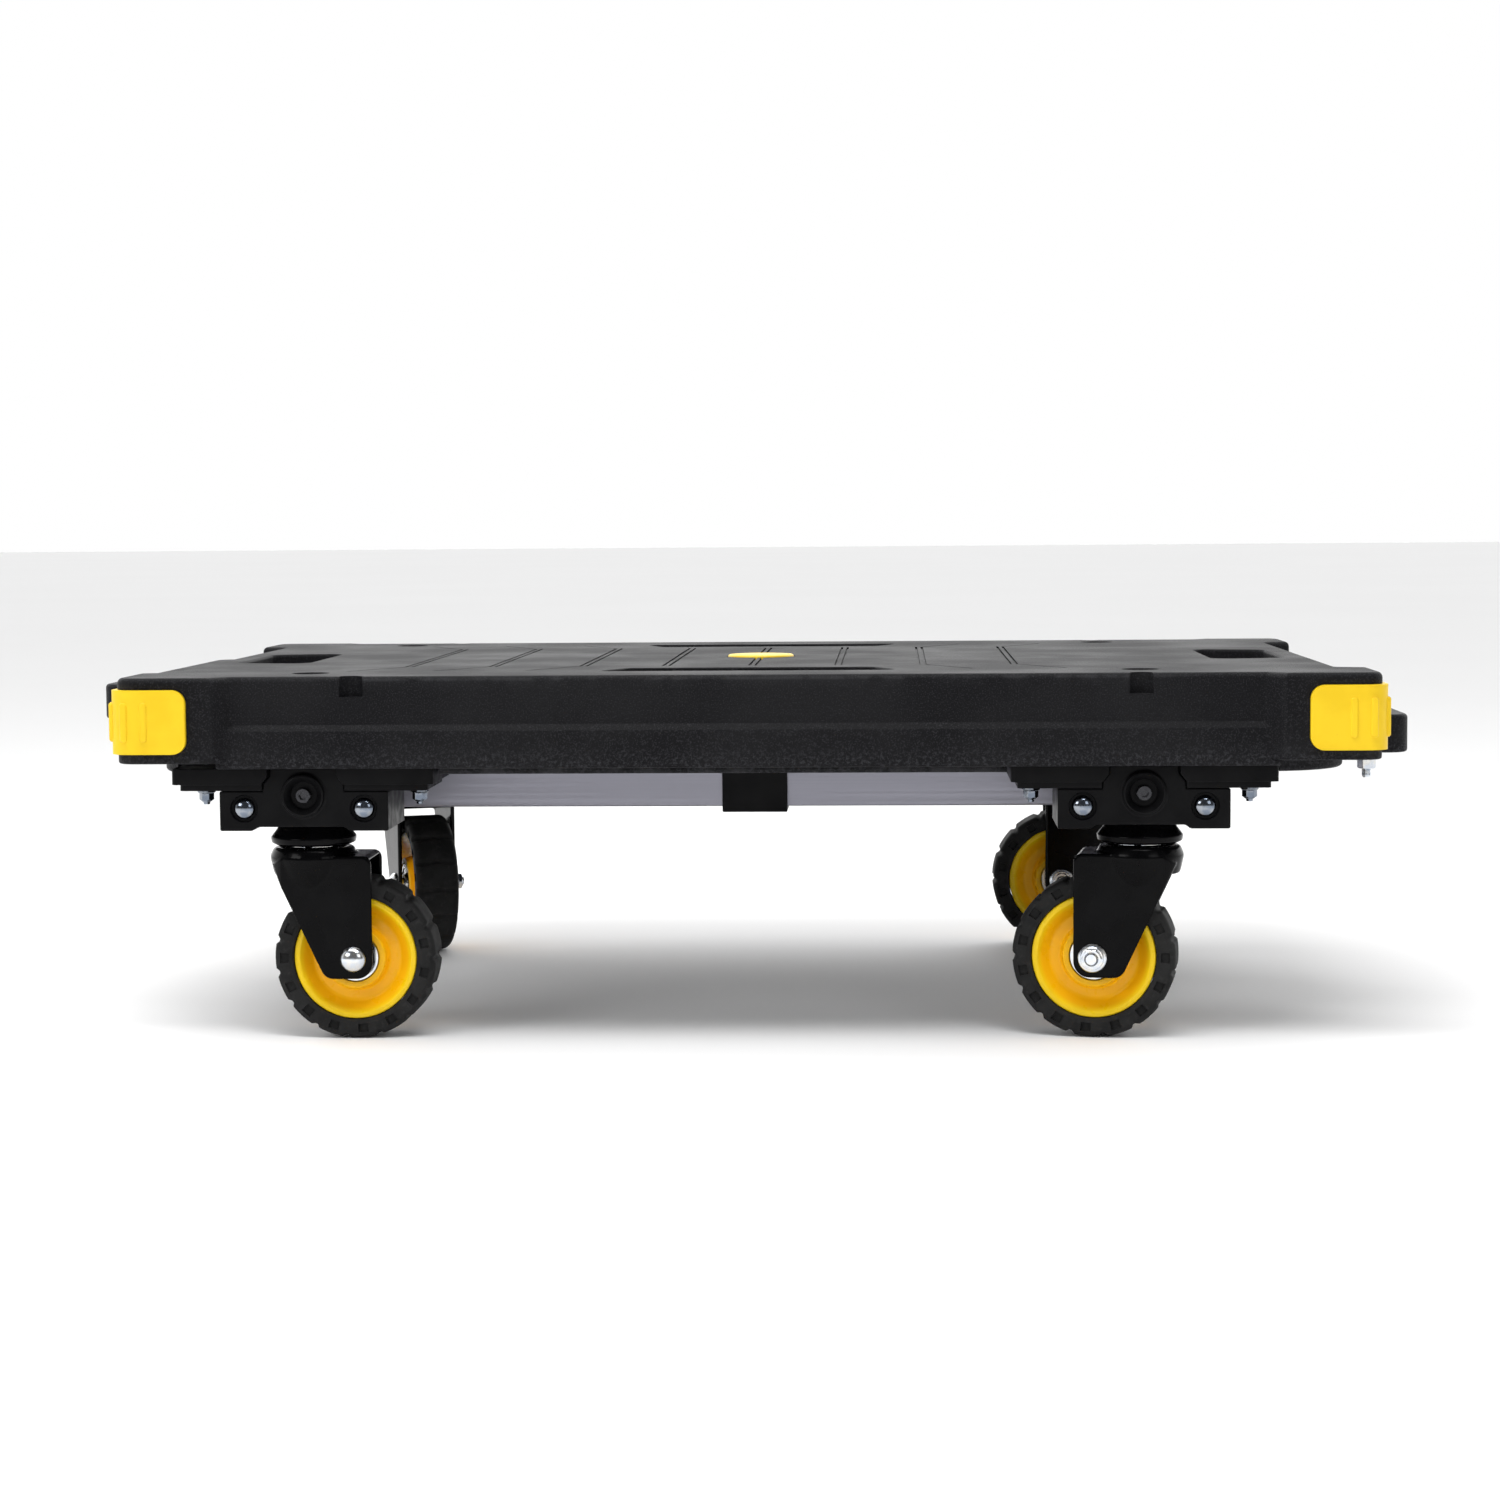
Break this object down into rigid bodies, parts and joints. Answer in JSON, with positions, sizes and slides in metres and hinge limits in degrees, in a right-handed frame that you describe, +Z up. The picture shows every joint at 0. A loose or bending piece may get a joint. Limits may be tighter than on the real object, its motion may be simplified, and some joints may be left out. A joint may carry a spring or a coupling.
{
  "type": "furniture dolly",
  "caption": "Low moulded furniture dolly: ribbed black deck with hand slots, link tongues and corner bumpers, on swivel casters with lugged tyres.",
  "frame": {"origin": "on the floor, below the middle of the deck (middle of the bounding box's base)", "axes": "+Z up; +X along the deck's length to the end with the lower link tongue; -Y is the front"},
  "size_m": [0.818, 0.5094, 0.2266],
  "materials": {
    "deck_black": "black moulded plastic with a fine pebble grain",
    "bracket_black": "black moulded plastic, satin",
    "bumper_yellow": "yellow moulded rubber, satin",
    "badge_yellow": "yellow plastic disc, satin",
    "hub_yellow": "yellow moulded plastic, slightly glossy",
    "tyre_black": "black rubber with lugs",
    "gloss_black": "gloss black painted steel",
    "zinc_steel": "bright zinc-plated steel",
    "aluminium": "satin anodised extrusion"
  },
  "bodies": {
    "root": {"deck_shell": "deck_black", "deck_underpan": "deck_black", "centre_badge": "badge_yellow", "rail_front": "aluminium", "rail_rear": "aluminium", "rail_clip_front": "bracket_black", "rail_clip_rear": "bracket_black", "link_bolt_front": "zinc_steel", "link_bolt_rear": "zinc_steel", "link_nut_front": "zinc_steel", "link_nut_rear": "zinc_steel", "bumper_front_left": "bumper_yellow", "bumper_front_right": "bumper_yellow", "bumper_rear_left": "bumper_yellow", "bumper_rear_right": "bumper_yellow", "mount_plate_front_left": "bracket_black", "caster_bracket_front_left": "bracket_black", "upper_race_front_left": "gloss_black", "kingpin_front_left": "zinc_steel", "mount_plate_front_right": "bracket_black", "caster_bracket_front_right": "bracket_black", "upper_race_front_right": "gloss_black", "kingpin_front_right": "zinc_steel", "mount_plate_rear_left": "bracket_black", "caster_bracket_rear_left": "bracket_black", "upper_race_rear_left": "gloss_black", "kingpin_rear_left": "zinc_steel", "mount_plate_rear_right": "bracket_black", "caster_bracket_rear_right": "bracket_black", "upper_race_rear_right": "gloss_black", "kingpin_rear_right": "zinc_steel"},
    "swivel_front_left": {"fork_front_left": "gloss_black", "ball_cage_front_left": "zinc_steel", "axle_bolt_front_left": "zinc_steel", "axle_nut_front_left": "zinc_steel"},
    "wheel_front_left": {"wheel_hub_front_left": "hub_yellow", "tyre_front_left": "tyre_black", "wheel_bearings_front_left": "zinc_steel"},
    "swivel_front_right": {"fork_front_right": "gloss_black", "ball_cage_front_right": "zinc_steel", "axle_bolt_front_right": "zinc_steel", "axle_nut_front_right": "zinc_steel"},
    "wheel_front_right": {"wheel_hub_front_right": "hub_yellow", "tyre_front_right": "tyre_black", "wheel_bearings_front_right": "zinc_steel"},
    "swivel_rear_left": {"fork_rear_left": "gloss_black", "ball_cage_rear_left": "zinc_steel", "axle_bolt_rear_left": "zinc_steel", "axle_nut_rear_left": "zinc_steel"},
    "wheel_rear_left": {"wheel_hub_rear_left": "hub_yellow", "tyre_rear_left": "tyre_black", "wheel_bearings_rear_left": "zinc_steel"},
    "swivel_rear_right": {"fork_rear_right": "gloss_black", "ball_cage_rear_right": "zinc_steel", "axle_bolt_rear_right": "zinc_steel", "axle_nut_rear_right": "zinc_steel"},
    "wheel_rear_right": {"wheel_hub_rear_right": "hub_yellow", "tyre_rear_right": "tyre_black", "wheel_bearings_rear_right": "zinc_steel"}
  },
  "joints": [
    {"name": "swivel_turn_front_left", "type": "hinge", "parent": "root", "child": "swivel_front_left", "pos_m": [-0.2695, -0.199, 0.117], "axis": [0, 0, 1], "continuous": true},
    {"name": "wheel_spin_front_left", "type": "hinge", "parent": "swivel_front_left", "child": "wheel_front_left", "pos_m": [-0.2425, -0.199, 0.05], "axis": [0, 1, 0], "continuous": true},
    {"name": "swivel_turn_front_right", "type": "hinge", "parent": "root", "child": "swivel_front_right", "pos_m": [0.24, -0.199, 0.117], "axis": [0, 0, 1], "continuous": true},
    {"name": "wheel_spin_front_right", "type": "hinge", "parent": "swivel_front_right", "child": "wheel_front_right", "pos_m": [0.21333, -0.19478, 0.05], "axis": [-0.1564, -0.9877, 0], "continuous": true},
    {"name": "swivel_turn_rear_left", "type": "hinge", "parent": "root", "child": "swivel_rear_left", "pos_m": [-0.2695, 0.199, 0.117], "axis": [0, 0, 1], "continuous": true},
    {"name": "wheel_spin_rear_left", "type": "hinge", "parent": "swivel_rear_left", "child": "wheel_rear_left", "pos_m": [-0.25982, 0.17379, 0.05], "axis": [0.9336, 0.3584, 0], "continuous": true},
    {"name": "swivel_turn_rear_right", "type": "hinge", "parent": "root", "child": "swivel_rear_right", "pos_m": [0.24, 0.199, 0.117], "axis": [0, 0, 1], "continuous": true},
    {"name": "wheel_spin_rear_right", "type": "hinge", "parent": "swivel_rear_right", "child": "wheel_rear_right", "pos_m": [0.213, 0.199, 0.05], "axis": [0, -1, 0], "continuous": true}
  ]
}
